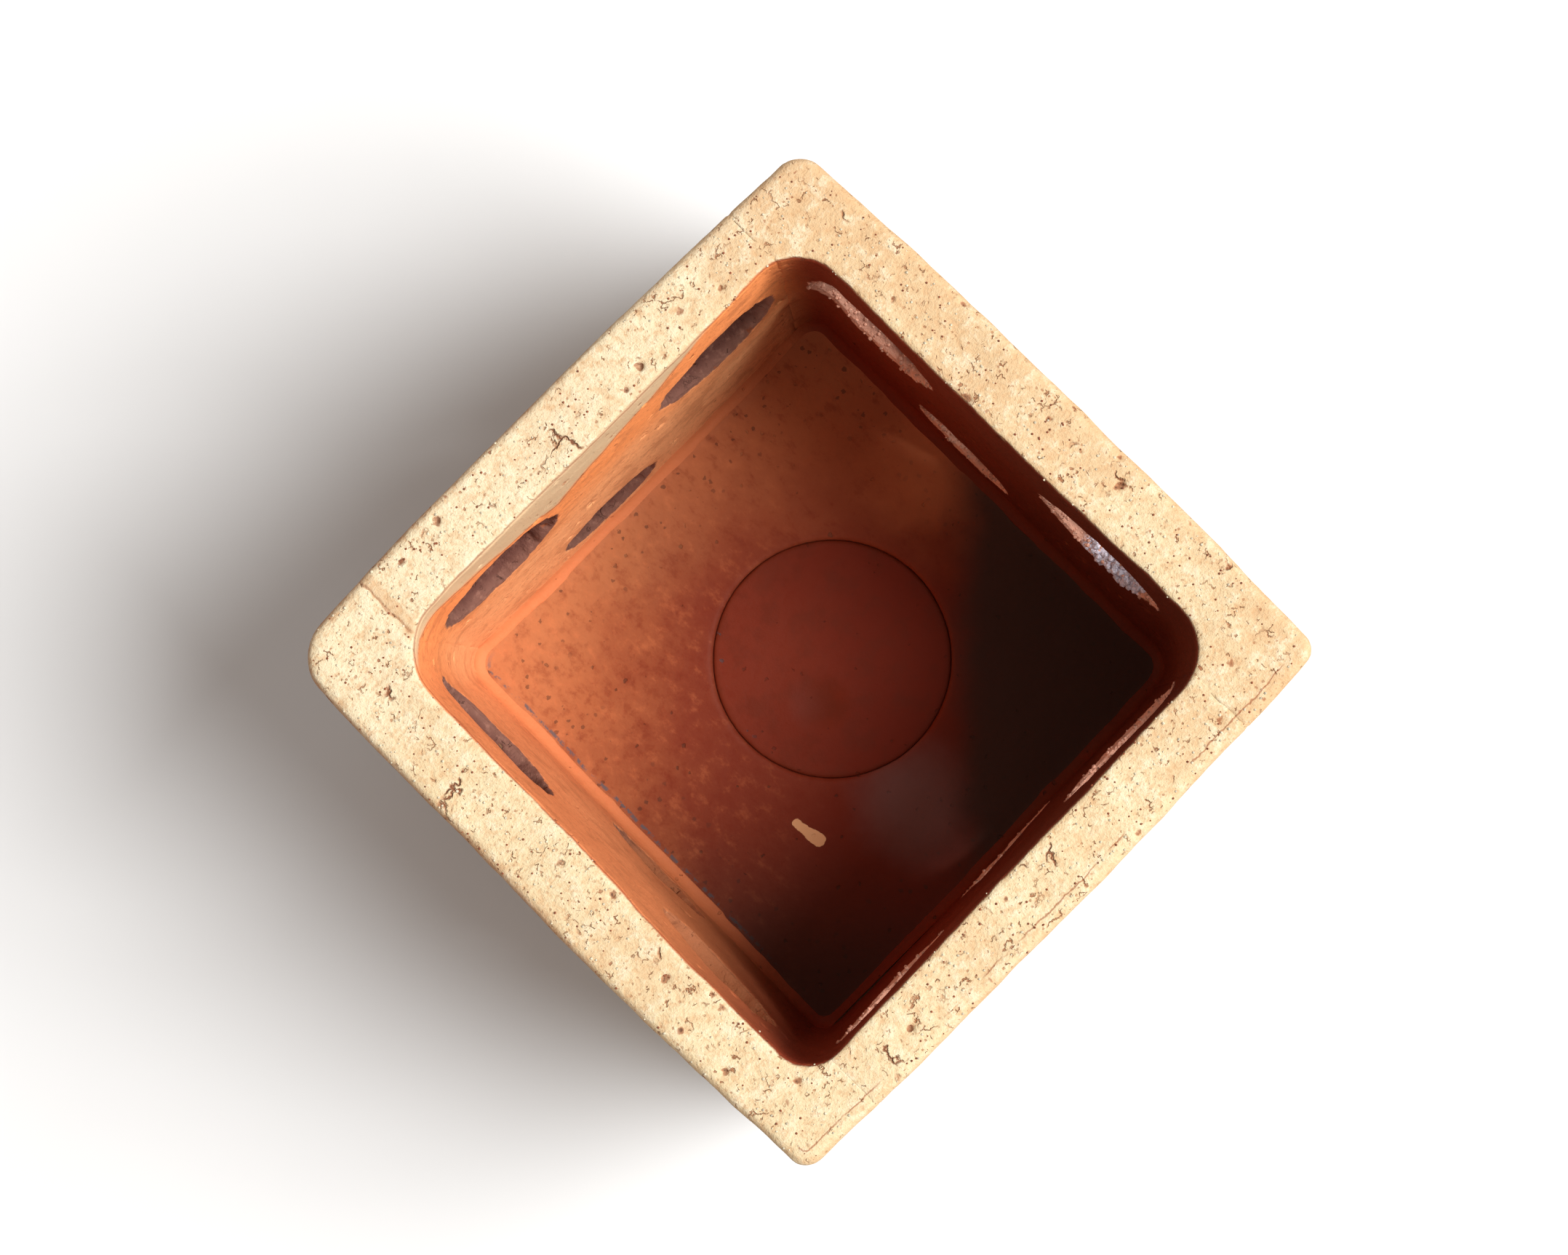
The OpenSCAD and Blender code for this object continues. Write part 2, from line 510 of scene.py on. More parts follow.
    def fill(self, body, low, high, voxel, marks, material):
        """Fills the body into a volume and closes the tree with its mesh."""
        tree = self.tree
        margin = 2.0 * voxel
        start = [v - margin for v in low]
        end = [v + margin for v in high]
        counts = [max(4, round((b - a) / voxel)) for a, b in zip(start, end)]
        volume = tree.add(
            "GeometryNodeVolumeCube", None, -body, -1.0,
            tuple(v * MM for v in start), tuple(v * MM for v in end), *counts,
        )
        grid = {"resolution_mode": "GRID"}
        mesh = tree.add("GeometryNodeVolumeToMesh", grid, volume, Threshold=0.0)
        island = tree.add("GeometryNodeInputMeshIsland")
        points = tree.add("GeometryNodeAccumulateField", {"data_type": "FLOAT"}, 1.0, island)
        crumb = tree.maths("LESS_THAN", points.other("Total"), CRUMB_POINTS)
        mesh = tree.add("GeometryNodeDeleteGeometry", None, mesh, crumb)
        for name, value in marks.items():
            mesh = tree.add("GeometryNodeStoreNamedAttribute", None, mesh, Name=name, Value=value)
        mesh = tree.add("GeometryNodeSetShadeSmooth", None, mesh)
        tree.close(mesh, material)


def pit_field(tree, place, largest, spacing):
    """Distance to the nearest pit, less than zero inside it."""
    torn = tree.shifted(place, 1.5, 1.6, 2.0)
    cell = tree.cells(torn, spacing)
    chance = tree.parts(cell.other("Color"))[0]
    radius = chance.ramp(0.55, 1.05) * largest
    return cell * spacing - radius - SMALLEST_PIT


def dress(piece, body, nodes):
    """Says what the piece rides on, and hides the frame parts that it stands for."""
    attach(piece, body)
    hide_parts(*nodes)


# ---------------------------------------------------------------- finishes


class Finish(Tree):
    """A material under construction, with its place in millimetres."""

    def __init__(self, name):
        self.material = bpy.data.materials.new(name)
        self.material.use_nodes = True
        super().__init__(self.material.node_tree)
        self.tree.nodes.clear()
        coordinates = self.add("ShaderNodeTexCoord").other("Object")
        self.place = self.vectors("SCALE", coordinates, 1.0 / MM)
        self.x, self.y, self.z = self.parts(self.place)

    def across(self):
        """How far a place lies from the middle towards the south-east corner."""
        return (self.x - self.y) * math.sqrt(0.5)

    def lumps(self, *size):
        """Noise in the piece's own place, by its size, detail and roughness."""
        return self.noise(self.place, *size)

    def mark(self, name):
        """A value that the shape tree stored on the mesh."""
        return self.add("ShaderNodeAttribute", {"attribute_name": name}).other("Fac")

    def close(self, base, roughness, height, bump_mm, **constants):
        """Ends the material in a Principled surface with a bump in millimetres."""
        normal = self.add(
            "ShaderNodeBump", None, Strength=1.0, Distance=bump_mm * MM, Height=height
        )
        surface = self.add(
            "ShaderNodeBsdfPrincipled", None, Base_Color=base, Roughness=roughness,
            Normal=normal, **constants,
        )
        output = self.tree.nodes.new("ShaderNodeOutputMaterial")
        self.tree.links.new(surface.socket, output.inputs["Surface"])
        return self.material

    def coats(self, base, *coats):
        """A colour under coats of others, each given by its cover, from 0 to 1, and its colour."""
        for cover, shade in coats:
            base = self.mix(cover, base, shade)
        return base

    def flecks(self, size, share, radius):
        """Ragged flecks in a share of the cells, 1 inside a fleck."""
        cell = self.cells(self.shifted(self.place, size * 0.4, size * 0.55, 2.0), size)
        chance = self.parts(cell.other("Color"))[1]
        reach = chance.ramp(1.0 - share, 1.0) * (radius / size)
        return (cell - reach).ramp(0.03, -0.03)

    def cracks(self, size, keep, width):
        """Short wandering cracks, 1 inside a crack."""
        bent = self.shifted(self.place, size * 0.3, size * 0.6, 3.0)
        line = self.cells(bent, size, "DISTANCE_TO_EDGE")
        near = line.ramp(width / size, 0.0)
        return near * self.lumps(size * 0.8, 1.0).ramp(1.0 - keep, 1.06 - keep)


def bare_clay(finish, colours):
    """Colour and bump of the bare grogged stoneware."""
    x, y = finish.x, finish.y
    tan, chalk, rust = colours.tan, colours.chalk, colours.rust
    east = (x + y * 0.3).ramp(30.0, 62.0)
    north = (y - x * 0.2).ramp(38.0, 50.0)
    patches = (finish.lumps(15.0, 3.0) + east * 0.3).ramp(0.45, 0.75)
    mottle = finish.lumps(2.4, 4.0, 0.7)
    grain = finish.lumps(0.5, 3.0, 0.7)
    fired = finish.coats(
        colours.cream,
        (patches * 0.5, tan),
        (north * 0.4, chalk),
        ((x - y).ramp(72.0, 100.0) * 0.45, tan),
        ((x + y).ramp(78.0, 104.0) * 0.3, tan),
        (mottle.ramp(0.48, 0.66) * 0.6, chalk),
        (mottle.ramp(0.47, 0.33) * 0.5, tan),
        (grain.ramp(0.50, 0.30) * 0.5, tan),
    )
    clumps = finish.lumps(4.0, 2.0).ramp(0.38, 0.6)
    dust = finish.flecks(0.7, 0.45, 0.22) * (0.25 + clumps * 0.75)
    specks = finish.flecks(1.7, 0.24, 0.3) * (0.3 + clumps * 0.7)
    cracks = finish.larger(finish.cracks(1.9, 0.385, 0.14), finish.cracks(3.4, 0.37, 0.18))
    cracks = cracks * (0.4 + clumps * 0.6)
    gouges = finish.cracks(7.5, 0.33, 0.4)
    base = finish.coats(
        fired,
        (finish.lumps(1.1, 3.0, 0.6).ramp(0.52, 0.68) * 0.5, tan),
        (finish.larger(cracks, gouges * 0.6, dust * 0.5) * 0.6, tan),
        (finish.larger(dust * 0.55, specks * 0.8, cracks * 0.8, gouges * 0.9), rust),
        (gouges.ramp(0.7, 1.1) * 0.5, colours.soot),
    )
    height = grain * 0.8 + mottle * 1.5
    height = height - dust * 0.2 - specks * 0.5 - cracks * 0.8 - gouges * 1.4
    return base, height


def browned_and_shaded(finish, colours, bare, toast, shade_share):
    """Bare clay toasted brown, with painted shade in rust on the side turned north-west, away from
    the light.
    """
    # Painted shade on the faces turned away from the light
    shaded = (finish.y - finish.x).ramp(20.0, 62.0)
    return finish.coats(
        bare, (toast * TOAST, colours.tan), (toast * shaded * shade_share, colours.rust)
    )


def pit_colour(finish, colours, shape, base):
    """Darkens the inside of the pits."""
    hole = pit_field(finish, finish.place, shape.pit_r, shape.pit_gap)
    return finish.coats(
        base,
        (hole.ramp(0.15, -0.1) * 0.7, colours.rust),
        (hole.ramp(-0.12, -0.4) * 0.8, colours.soot),
    )


def wash_with_painted_shade(finish, colours):
    """The iron wash: orange in the north-west, darker towards the south-east, partly as the wash
    changes and partly as painted shade on the side turned away from the light.
    """
    cloud = (finish.lumps(12.0, 4.0, 0.6) - 0.5) * 26.0
    across = finish.across() + cloud
    mottle = finish.lumps(1.8, 4.0, 0.65)
    specks = finish.flecks(1.9, 0.35, 0.36)
    # Darker towards the south-east: partly the wash itself, partly painted shade
    base = finish.coats(
        colours.wash,
        (across.ramp(-52.0, -14.0), colours.wash_red),
        (across.ramp(-14.0, 12.0), colours.wash_deep),
        (across.ramp(12.0, 40.0), colours.wash_dark),
        (mottle.ramp(0.5, 0.32) * 0.35, colours.wash_deep),
        (specks * 0.6, colours.soot),
    )
    return base, specks, mottle


def wall_finish(colours, shape):
    """Bare stoneware outside and on the rim, iron wash inside, torn clay in the windows."""
    finish = Finish("grogged_stoneware")
    cavity, window = finish.mark("from_cavity"), finish.mark("from_window")
    outside = finish.mark("from_outside")
    bare, bare_height = bare_clay(finish, colours)
    depth = RIM_Z - finish.z
    edge = finish.lumps(2.2, 3.0, 0.6) - 0.5
    toast = (outside + edge * 2.0).ramp(-1.8, 0.4) * depth.ramp(0.05, 1.2)
    bare = browned_and_shaded(finish, colours, bare, toast, 0.5)
    layer = abs(outside + 2.4 + edge * 1.2).ramp(0.2, 0.04)
    layer = layer * finish.lumps(10.0, 1.0).ramp(0.47, 0.56)
    bare = finish.mix(layer * finish.y.ramp(-48.0, -50.0) * 0.7, bare, colours.rust)
    washed, specks = wash_with_painted_shade(finish, colours)[:2]
    washed = lit_wall(finish, colours, washed, depth)
    inside = (cavity + edge * 0.4).ramp(0.5, 0.2) * (depth + edge * 0.6).ramp(0.3, 0.6)
    torn = (window + edge * 0.9).ramp(0.7, 0.25)
    base = finish.mix(inside, bare, washed)
    base = finish.mix(torn, base, torn_clay(finish, colours, edge))
    base = sill_patch_colour(finish, colours, base)
    base = seam_smear(finish, colours, base, depth)
    base = pit_colour(finish, colours, shape, base)
    rough = 0.88 - inside * (1.0 - torn) * 0.3
    height = bare_height * (1.0 - inside * 0.45) - specks * inside * 0.5
    return finish.close(base, rough, height, 0.24, Specular_IOR_Level=CLAY_SHINE)


def lit_wall(finish, colours, washed, depth):
    """The north and west walls' wash in painted light, orange and brightest on the north wall, with
    painted shade towards the west wall's south end, and paler in a cream strip under the north rim.
    """
    low = (depth + finish.lumps(9.0, 3.0) * 20.0).ramp(30.0, 66.0)
    corner = (finish.x + finish.y).ramp(-18.0, 18.0)
    fine = finish.lumps(0.8, 3.0, 0.65).ramp(0.5, 0.3)
    uneven = finish.lumps(6.0, 4.0, 0.6).ramp(0.5, 0.36)
    # Painted shade towards the south end of the west wall
    shaded = (finish.y - finish.x * 2.0).ramp(104.0, 50.0) * (1.0 - corner)
    orange = finish.coats(
        colours.wash_lit,
        (corner, colours.wash_glow),
        (low * (0.1 + corner * 0.4), colours.wash_pale),
        (fine * 0.35, colours.wash_red),
        (uneven * 0.4, colours.wash),
        (shaded * 0.6, colours.wash),
    )
    north = finish.y.ramp(38.0, 42.0)
    reach = 17.0 - abs(finish.x + 10.0) * 0.55 + finish.lumps(9.0, 2.0) * 5.0
    lower = abs(depth - reach - 0.6).ramp(0.7, 0.1) * north
    return finish.coats(
        finish.mix(lit_side(finish), washed, orange),
        ((depth - reach).ramp(1.5, -1.5) * north * 0.85, colours.cream),
        (abs(depth - 0.9).ramp(0.35, 0.05) * 0.6, colours.wash_red),
        (lower * reach.ramp(2.0, 6.0) * 0.45, colours.wash_red),
    )


def lit_side(finish):
    """The inner faces of the north and west walls, which face the light and are given painted
    light.
    """
    north = finish.y.ramp(34.0, 41.0) * finish.x.ramp(43.0, 35.0)
    west = finish.x.ramp(-34.0, -41.0) * finish.y.ramp(-44.0, -8.0)
    return finish.larger(north, west)


def torn_clay(finish, colours, edge):
    """The torn clay inside the windows, with a paler dry edge, and painted light on the lips of the
    south-eastern windows, where light comes in from outside.
    """
    dry = finish.lumps(1.6, 4.0, 0.65).ramp(0.5, 0.78)
    # Towards the south-east, where the windows' lips are given painted light
    away = (finish.x - finish.y).ramp(-20.0, 20.0)
    lit_edge = (finish.mark("from_cavity") + edge).ramp(2.6, 0.4)
    west = finish.x.ramp(-36.0, -40.0) * finish.y.ramp(8.0, -2.0)
    return finish.coats(
        colours.torn,
        (dry * (0.15 + away * 0.3), colours.torn_pale),
        (lit_edge * (0.1 + away * 0.8), colours.torn_pale),
        (west * 0.75, colours.wash),
    )


def sill_patch_colour(finish, colours, base):
    """A lilac-white patch on the sill of the east wall's southern upper window."""
    away = from_sill_patch(finish, finish.y, finish.z)
    patch_cover = (away + finish.lumps(1.8, 3.0) * 4.0).ramp(9.0, 7.5)
    patch_cover = patch_cover * finish.x.ramp(CAVITY - 3.0, CAVITY - 2.0)
    patch_cover = patch_cover * finish.mark("from_window").ramp(1.2, 0.6)
    return finish.mix(patch_cover, base, colours.lime)


def from_sill_patch(tree, y, z):
    """Distance from the middle of the lilac-white patch, south of that window's middle and below
    it.
    """
    middles = [middle for middle, radius in find_windows("east") if middle.z > MIDDLE_Z]
    window = min(middles, key=lambda middle: middle.y)
    south, below, flatness = 3.0, 11.0, 0.8
    return tree.distance(y - window.y + south, (z - window.z + below) * flatness)


def seam_smear(finish, colours, base, depth):
    """Slip smeared over the one open butt joint of the rim."""
    off = finish.x + JOINT + (finish.lumps(2.0, 3.0) - 0.5) * 1.6
    north, top = finish.y.ramp(CAVITY - 1.0, CAVITY), depth.ramp(1.5, 0.5)
    return finish.coats(
        base,
        (abs(off - 0.7).ramp(1.3, 0.7) * north * top * 0.5, colours.tan),
        (abs(off).ramp(0.28, 0.1) * north * top * 0.45, colours.rust),
    )


def floor_finish(colours, name, wash):
    """Semi-gloss wash on the upper faces inside the cavity; bare clay everywhere else."""
    finish = Finish(name)
    cavity = finish.mark("from_cavity")
    bare, bare_height = bare_clay(finish, colours)
    washed, specks, mottle = wash_with_painted_shade(finish, colours)
    bare = browned_and_shaded(finish, colours, bare, cavity.ramp(8.0, 10.0), 0.35)
    inside = cavity.ramp(0.4, -0.4) * finish.z.ramp(DISC_LOW.z, DISC_LOW.z + 2.5)
    base = finish.mix(inside, bare, wash(finish, colours, washed))
    rough = 0.9 - inside * (0.26 + mottle * 0.1)
    height = bare_height * (1.0 - inside) + mottle * 0.5 - specks * 0.5
    return finish.close(base, rough, height, 0.18, Specular_IOR_Level=CLAY_SHINE)


def floor_light_and_wash(finish, colours, washed):
    """The floor's wash, with a painted shadow in the south-east and painted shade in the south-west
    corner, both near-black.
    """
    away = finish.across() + finish.lumps(14.0, 3.0) * 9.0
    south = finish.lumps(12.0, 3.0) * 12.0 - finish.x - finish.y
    # Painted shadow of the east and south walls towards the south-east, and painted shade in the
    # south-west corner
    washed = finish.coats(
        window_glow(finish, colours, floor_edge(finish, colours, washed)),
        (away.ramp(25.0, 34.0) * 0.85, colours.wash_night),
        (south.ramp(40.0, 84.0) * 0.75, colours.wash_night),
    )
    return bare_fleck(finish, colours, washed)


def disc_wash(finish, colours, washed):
    """The disc's thick wash, darker at its edge and in its dimple, with some ash."""
    x, y = finish.x - DISC_MID.x, finish.y - DISC_MID.y
    rim = finish.distance(x, y) - DISC_R
    cloudy = finish.lumps(5.0, 4.0, 0.65).ramp(0.55, 0.35)
    dip = finish.distance(x - DIMPLE.x, y - DIMPLE.y)
    dip = (dip + finish.lumps(4.0, 3.0) * 4.0).ramp(8.0, 3.0)
    ash = finish.flecks(1.9, 0.4, 0.45) * rim.ramp(-3.5, -1.0)
    ash = ash * (finish.x - finish.y).ramp(-10.0, -24.0)
    return finish.coats(
        washed,
        (0.4, colours.wash_deep),
        (rim.ramp(-1.4, -0.1) * 0.4, colours.wash_dark),
        (cloudy * 0.4, colours.wash_dark),
        (dip * 0.5, colours.wash_dark),
        (ash * 0.45, colours.slate),
    )


def floor_edge(finish, colours, washed):
    """Tan, gritty clay along the north edge and slate-blue iron along the west one."""
    x, y, cavity = finish.x, finish.y, finish.mark("from_cavity")
    north = (y + finish.lumps(9.0, 3.0) * 16.0).ramp(30.0, 50.0)
    corner = (x + y + finish.lumps(8.0, 3.0) * 20.0).ramp(24.0, 75.0)
    drawn_out = finish.vectors("MULTIPLY", finish.place, (1.0, 0.6, 1.0))
    brushed = finish.noise(drawn_out, 2.2, 5.0, 0.7)
    thin = brushed.ramp(0.5, 0.75) * (x - y).ramp(10.0, -30.0)
    grit = finish.flecks(1.3, 0.4, 0.42) * cavity.ramp(-16.0, -6.0)
    west = (x + y * 0.2).ramp(-28.0, -34.0) * y.ramp(-38.0, -20.0)
    off = cavity + (COIL_TOP - FLOOR_Z) + 0.15 + finish.lumps(3.0) * 0.5
    gather = abs(off).ramp(0.45, 0.12) * west
    gather = gather * finish.lumps(0.9, 3.0).ramp(0.45, 0.58)
    return finish.coats(
        washed,
        (north * 0.25, colours.wash_cove),
        (corner * 0.4, colours.wash_lit),
        (thin * 0.25, colours.wash_lit),
        (brushed.ramp(0.5, 0.3) * 0.4, colours.wash_deep),
        (grit * 0.55, colours.soot),
        (gather * 0.85, colours.slate),
    )


def window_glow(finish, colours, washed):
    """Painted pools of light on the floor, where light through the east and the south windows
    falls.
    """

    def patch(middle_x, middle_y, ragged, reach):
        away = finish.distance(finish.x - middle_x, finish.y - middle_y)
        return (away + finish.lumps(6.0, 3.0) * ragged).ramp(reach, 5.0)

    # Painted light through the east window in the lit wash colour, and through the south window in
    # mauve
    return finish.coats(
        washed,
        (patch(36.0, 12.0, 6.0, 16.0) * 0.4, colours.wash_lit),
        (patch(-4.5, -28.0, 5.0, 17.0) * 0.75, colours.wash_mauve),
    )


def bare_fleck(finish, colours, base):
    """A sharp-edged fleck of clay on the floor that the wash missed."""
    start, end = Vector((-21.3, -15.6)), Vector((-20.6, -20.4))
    line = end - start
    x, y = finish.x - start.x, finish.y - start.y
    share = (x * line.x + y * line.y) / line.length_squared
    share = finish.smaller(finish.larger(share, 0.0), 1.0)
    away = finish.distance(x - share * line.x, y - share * line.y)
    wobble = (finish.lumps(1.3, 2.0) - 0.5) * 0.9
    fleck = (away + wobble - share * 0.5).ramp(0.75, 0.6)
    return finish.mix(fleck, base, colours.wash_pale)


def coil_finish(colours):
    """Iron wash over the foot coils, with painted light on the north and west coils, where the
    light falls.
    """
    finish = Finish("washed_coil")
    washed, specks, mottle = wash_with_painted_shade(finish, colours)
    # Painted light on the coils of the north and west walls
    washed = finish.mix(lit_side(finish) * 0.7, washed, colours.wash_lit)
    return finish.close(washed, 0.6, mottle - specks, 0.2, Specular_IOR_Level=CLAY_SHINE)


def foot_finish(colours, shape):
    """Bare stoneware, rubbed a little darker."""
    finish = Finish("foot_stoneware")
    bare, height = bare_clay(finish, colours)
    base = finish.mix(finish.z.ramp(1.5, 0.0) * 0.5, bare, colours.tan)
    return finish.close(pit_colour(finish, colours, shape, base), 0.9, height, 0.2)


def grain_finish(name, shade, rough):
    """One kind of grain, a little uneven in colour."""
    finish = Finish(name)
    spots = finish.lumps(0.5, 3.0)
    dull = tuple(channel * 0.55 for channel in shade)
    base = finish.mix(spots.ramp(0.35, 0.7), dull, shade)
    return finish.close(base, rough, spots, 0.08)


# ---------------------------------------------------------------- operators


class POT_OT_camera(bpy.types.Operator):
    """Places the camera above the pot, looking almost straight down with a corner at the top"""

    bl_idname = "pot.camera"
    bl_label = "Camera"

    LENS = 79.4
    PLACE = Vector((2.0, -23.35, 609.0))
    TARGET = Vector((1.13, 4.9, 100.0))
    UP = Vector((1.0, 1.0, 0.0))
    NEAREST = 0.01

    def execute(self, context):
        data = bpy.data.cameras.new("camera")
        data.lens = self.LENS
        data.clip_start = self.NEAREST
        camera = bpy.data.objects.new("camera", data)
        back = (self.PLACE - self.TARGET).normalized()
        side = self.UP.cross(back).normalized()
        up = back.cross(side)
        turn = Matrix((side, up, back)).transposed().to_4x4()
        camera.matrix_world = Matrix.Translation(self.PLACE * MM) @ turn
        context.scene.collection.objects.link(camera)
        context.scene.camera = camera
        return {"FINISHED"}


class POT_OT_studio(bpy.types.Operator):
    """Adds the white table, the soft box on the right and the pale room"""

    bl_idname = "pot.studio"
    bl_label = "Studio"

    ROOM = (1.0, 0.90, 0.83, 1.0)
    LIGHT = (0.975, 0.99, 0.98)
    # From the middle of the table to its edges, in metres
    REACH = 3.0
    # The table's faint clouds are this much darker
    CLOUDED = 0.985

    def execute(self, context):
        studio = context.scene.pot_studio
        self.add_table(context, studio)
        self.add_key(context, studio)
        world = bpy.data.worlds.new("room")
        world.use_nodes = True
        back = world.node_tree.nodes["Background"]
        back.inputs["Color"].default_value = self.ROOM
        back.inputs["Strength"].default_value = studio.fill
        context.scene.world = world
        context.scene.view_settings.view_transform = "Standard"
        context.scene.cycles.use_denoising = True
        return {"FINISHED"}

    def add_table(self, context, studio):
        reach = self.REACH
        corners = [(-reach, -reach, 0), (reach, -reach, 0), (reach, reach, 0), (-reach, reach, 0)]
        mesh = bpy.data.meshes.new("table")
        mesh.from_pydata(corners, [], [(0, 1, 2, 3)])
        table = bpy.data.objects.new("table", mesh)
        context.scene.collection.objects.link(table)
        finish = Finish("white_table")
        cloud = finish.lumps(60.0, 3.0)
        white = studio.table_white
        clouded = tuple(channel * self.CLOUDED for channel in white)
        shade = finish.mix(cloud.ramp(0.3, 0.7), clouded, white)
        mesh.materials.append(finish.close(shade, 0.5, cloud, 0.01))

    def add_key(self, context, studio):
        data = bpy.data.lights.new("soft_box", "AREA")
        data.shape = "DISK"
        data.size = studio.key_size
        data.energy = studio.key_watts
        data.color = self.LIGHT
        key = bpy.data.objects.new("soft_box", data)
        level = math.cos(studio.key_height) / math.sqrt(2.0)
        away = Vector((level, -level, math.sin(studio.key_height)))
        key.matrix_world = (
            Matrix.Translation(away * studio.key_distance)
            @ away.to_track_quat("Z", "Y").to_matrix().to_4x4()
        )
        context.scene.collection.objects.link(key)


class POT_OT_wall_slabs(bpy.types.Operator):
    """Builds the four wall slabs with their rim, torn windows and butt joints"""

    bl_idname = "pot.wall_slabs"
    bl_label = "Wall slabs"

    # Depth of the thumbed dips along the rim
    DIPS = 0.7
    # Radius of the open seam's groove, its axis below the rim, and how far it wanders
    SEAM_R = 0.38
    SEAM_DEPTH = 0.2
    SEAM_BEND = 1.2

    def execute(self, context):
        shape, colours = context.scene.pot_shape, context.scene.pot_colours
        material = wall_finish(colours, shape)
        for wall in WALLS:
            node = "wall_slab_" + wall
            end_slab = wall in ("east", "west")
            tree = ShapeTree(node)
            clay = Clay(tree, shape)
            body, windows = self.field(clay, wall)
            low, high = self.reach(wall, shape.lap)
            body = clay.clipped(body, low, high)
            marks = {
                "from_cavity": clay.cavity, "from_window": windows, "from_outside": clay.outer,
            }
            voxel = shape.wall_voxel if end_slab else shape.infill_voxel
            clay.fill(body, low, high, voxel, marks, material)
            piece = tree.make(node.replace("slab", "clay"))
            dress(piece, "pot", [node])
        return {"FINISHED"}

    def field(self, clay, wall):
        """The wall's solid, and its windows."""
        tree, shape = clay.tree, clay.shape
        dips = tree.noise(clay.flat, 15.0, 2.0) * self.DIPS
        top = clay.z - (RIM_Z - clay.slack) + dips
        body = tree.meet(clay.outer, top, tree.size("Rim arris", shape.rim_round))
        body = tree.meet(body, -clay.cavity, tree.size("Mouth arris", shape.mouth_round))
        windows = clay.windows(wall)
        body = tree.meet(body, -windows, clay.WINDOW_ARRIS)
        if wall in ("north", "west"):
            off = clay.flat_x + JOINT + (tree.noise(clay.flat, 5.0, 2.0) - 0.5) * self.SEAM_BEND
            seam = tree.distance(off, RIM_Z - self.SEAM_DEPTH - clay.flat_z) - self.SEAM_R
            body = tree.larger(body, -tree.larger(seam, -clay.flat_y))
        return clay.pitted(body, shape.pit_r), windows

    def reach(self, wall, lap):
        """The upright box that holds one slab of the walls, luted into its neighbours."""
        if wall in ("east", "west"):
            low, high = [JOINT, -HALF, FLOOR_Z - lap], [HALF, HALF, RIM_Z]
        else:
            low = [-JOINT - lap, CAVITY - 5.0, FLOOR_Z - lap]
            high = [JOINT + lap, HALF, RIM_Z]
        axis = 0 if wall in ("east", "west") else 1
        if wall in ("west", "south"):
            low[axis], high[axis] = -high[axis], -low[axis]
        return low, high


class POT_OT_floor_slab(bpy.types.Operator):
    """Builds the floor slab with the rebate for the drain disc and the drain hole"""

    bl_idname = "pot.floor_slab"
    bl_label = "Floor slab"

    DRAIN_R = 12.0
    REBATE_GAP = 0.02
    # Clearance under the disc
    BELOW_DISC = 0.3
    # Height of the floor's waves, which fade out towards the walls
    DISHED = 0.5
    UNDER_ARRIS = 1.6
    REBATE_ARRIS = 0.1

    def execute(self, context):
        shape, colours = context.scene.pot_shape, context.scene.pot_colours
        tree = ShapeTree("floor_slab")
        clay = Clay(tree, shape)
        under = BASE_Z + clay.slack * 0.5 - clay.z
        body = tree.meet(clay.outer, under, self.UNDER_ARRIS)
        dish = tree.noise(clay.flat, 22.0, 2.0) * self.DISHED
        within = clay.cavity.ramp(0.0, -3.0)
        body = tree.larger(body, clay.flat_z - FLOOR_Z + within * dish)
        round_out = clay.from_drain()
        bottom = DISC_LOW.z - self.BELOW_DISC - clay.flat_z
        rebate = tree.larger(round_out - DISC_R - self.REBATE_GAP - clay.out_of_round(), bottom)
        body = tree.meet(body, -rebate, self.REBATE_ARRIS)
        body = tree.larger(body, tree.size("Drain radius", self.DRAIN_R) - round_out)
        low, high = [-HALF, -HALF, BASE_Z], [HALF, HALF, FLOOR_Z]
        body = clay.clipped(body, low, high)
        material = floor_finish(colours, "washed_floor", floor_light_and_wash)
        clay.fill(body, low, high, shape.floor_voxel, {"from_cavity": clay.cavity}, material)
        dress(tree.make("floor_clay"), "pot", ["floor_slab"])
        return {"FINISHED"}


class POT_OT_foot_coils(bpy.types.Operator):
    """Builds the coils smoothed into the foot of the walls"""

    bl_idname = "pot.foot_coils"
    bl_label = "Foot coils"

    # Depth of the thumb marks, and thickness of the coil's feathered edges
    THUMBED = 0.4
    FEATHER = 0.03

    def execute(self, context):
        shape = context.scene.pot_shape
        material = coil_finish(context.scene.pot_colours)
        leg = COIL_TOP - FLOOR_Z
        for wall in WALLS:
            node = "foot_coil_" + wall
            low, high = box_mm(node)
            low = low - Vector((shape.lap, shape.lap, shape.lap))
            high = high + Vector((shape.lap, shape.lap, 0.0))
            tree = ShapeTree(node)
            clay = Clay(tree, shape)
            thumbed = (tree.noise(clay.flat, 11.0, 2.0) - 0.5) * self.THUMBED
            out = -clay.cavity
            up = clay.flat_z - FLOOR_Z
            hollow = leg + self.FEATHER + thumbed - tree.distance(out - leg, up - leg)
            body = tree.larger(hollow, out - leg, up - leg, clay.cavity - shape.lap)
            body = clay.clipped(body, low, high)
            clay.fill(body, low, high, shape.small_voxel, {"from_cavity": clay.cavity}, material)
            dress(tree.make(node.replace("foot", "washed")), "pot", [node])
        return {"FINISHED"}


